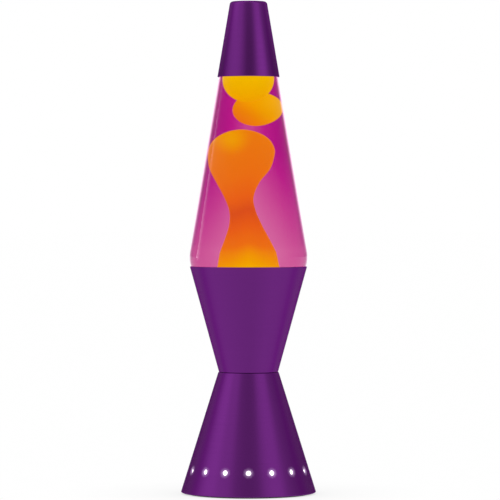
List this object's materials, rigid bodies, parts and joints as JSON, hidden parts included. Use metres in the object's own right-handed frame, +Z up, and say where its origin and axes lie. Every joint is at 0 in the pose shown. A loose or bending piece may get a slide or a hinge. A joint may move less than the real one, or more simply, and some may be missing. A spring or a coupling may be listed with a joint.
{
  "type": "lava lamp",
  "caption": "Lava lamp: purple spun-metal cone base with a ring of light holes, tapered glass globe of magenta liquid and orange wax, tapered metal cap, cord with rotary switch and plug.",
  "frame": {"origin": "on the floor under the lamp's axis, in the plane of the non-slip foot ring", "axes": "+Z up along the lamp's axis; -Y is the front, with one of the light holes facing it; the cord leaves towards +Y"},
  "size_m": [0.101, 0.1995, 0.3683],
  "materials": {
    "purple_metal": "satin metallic purple lacquer on aluminium",
    "bottle_glass": "clear polished",
    "clear_glass": "clear",
    "magenta_liquid": "clear dyed liquid",
    "orange_wax": "translucent wax, lit from below",
    "yellow_wax": "translucent wax, lit from below",
    "black_plastic": "moulded matt",
    "wheel_plastic": "moulded matt",
    "black_rubber": "matt",
    "cord_pvc": "satin flexible PVC",
    "lead_insulation": "satin",
    "zinc_steel": "zinc plated",
    "tinplate": "bright tinplate",
    "nickel_brass": "nickel plated",
    "brass": "rolled",
    "brown_phenolic": "moulded phenolic",
    "black_vitrite": "vitrified",
    "solder": "solder",
    "tungsten": "coiled wire",
    "liner_plastic": "soft"
  },
  "bodies": {
    "base": {"lower_cone": "purple_metal", "upper_cup": "purple_metal", "bottom_cover": "black_plastic", "foot_ring": "black_rubber", "socket_bracket": "zinc_steel", "threaded_nipple": "zinc_steel", "nipple_nuts": "zinc_steel", "lock_washer": "zinc_steel", "socket_cap": "brown_phenolic", "socket_body": "brown_phenolic", "terminal_screws": "brass", "socket_screw_shell": "brass", "socket_contact": "brass", "socket_leads": "lead_insulation", "cord_bushing": "black_plastic", "cord_lamp_side": "cord_pvc", "cord_plug_side": "cord_pvc", "switch_lower_half": "black_plastic", "switch_upper_half": "black_plastic", "switch_pin": "zinc_steel", "switch_contacts": "brass", "switch_bridge": "brass", "switch_screws": "zinc_steel", "plug_body": "cord_pvc", "plug_blades": "nickel_brass"},
    "globe": {"glass_bottle": "bottle_glass", "crown_liner": "liner_plastic", "crown_cap": "tinplate", "wax_coil": "zinc_steel", "wax_column": "orange_wax", "wax_free_blob": "orange_wax", "wax_top_blob": "yellow_wax", "liquid": "magenta_liquid"},
    "lid": {"cap": "purple_metal"},
    "bulb": {"bulb_envelope": "clear_glass", "bulb_screw_base": "nickel_brass", "bulb_insulator": "black_vitrite", "bulb_tip_contact": "solder", "bulb_stem": "clear_glass", "bulb_support_wires": "nickel_brass", "bulb_filament": "tungsten"},
    "wheel": {"switch_wheel": "wheel_plastic"}
  },
  "joints": [
    {"name": "globe_lift", "type": "slide", "parent": "base", "child": "globe", "axis": [0, 0, 1], "range_m": [0, 0.06]},
    {"name": "cap_lift", "type": "slide", "parent": "globe", "child": "lid", "axis": [0, 0, 1], "range_m": [0, 0.045]},
    {"name": "bulb_unscrew", "type": "slide", "parent": "base", "child": "bulb", "axis": [0, 0, 1], "range_m": [0, 0.012]},
    {"name": "switch_wheel_turn", "type": "hinge", "parent": "base", "child": "wheel", "pos_m": [0, 0.1115, 0.0064], "axis": [0, 0, 1], "continuous": true}
  ]
}
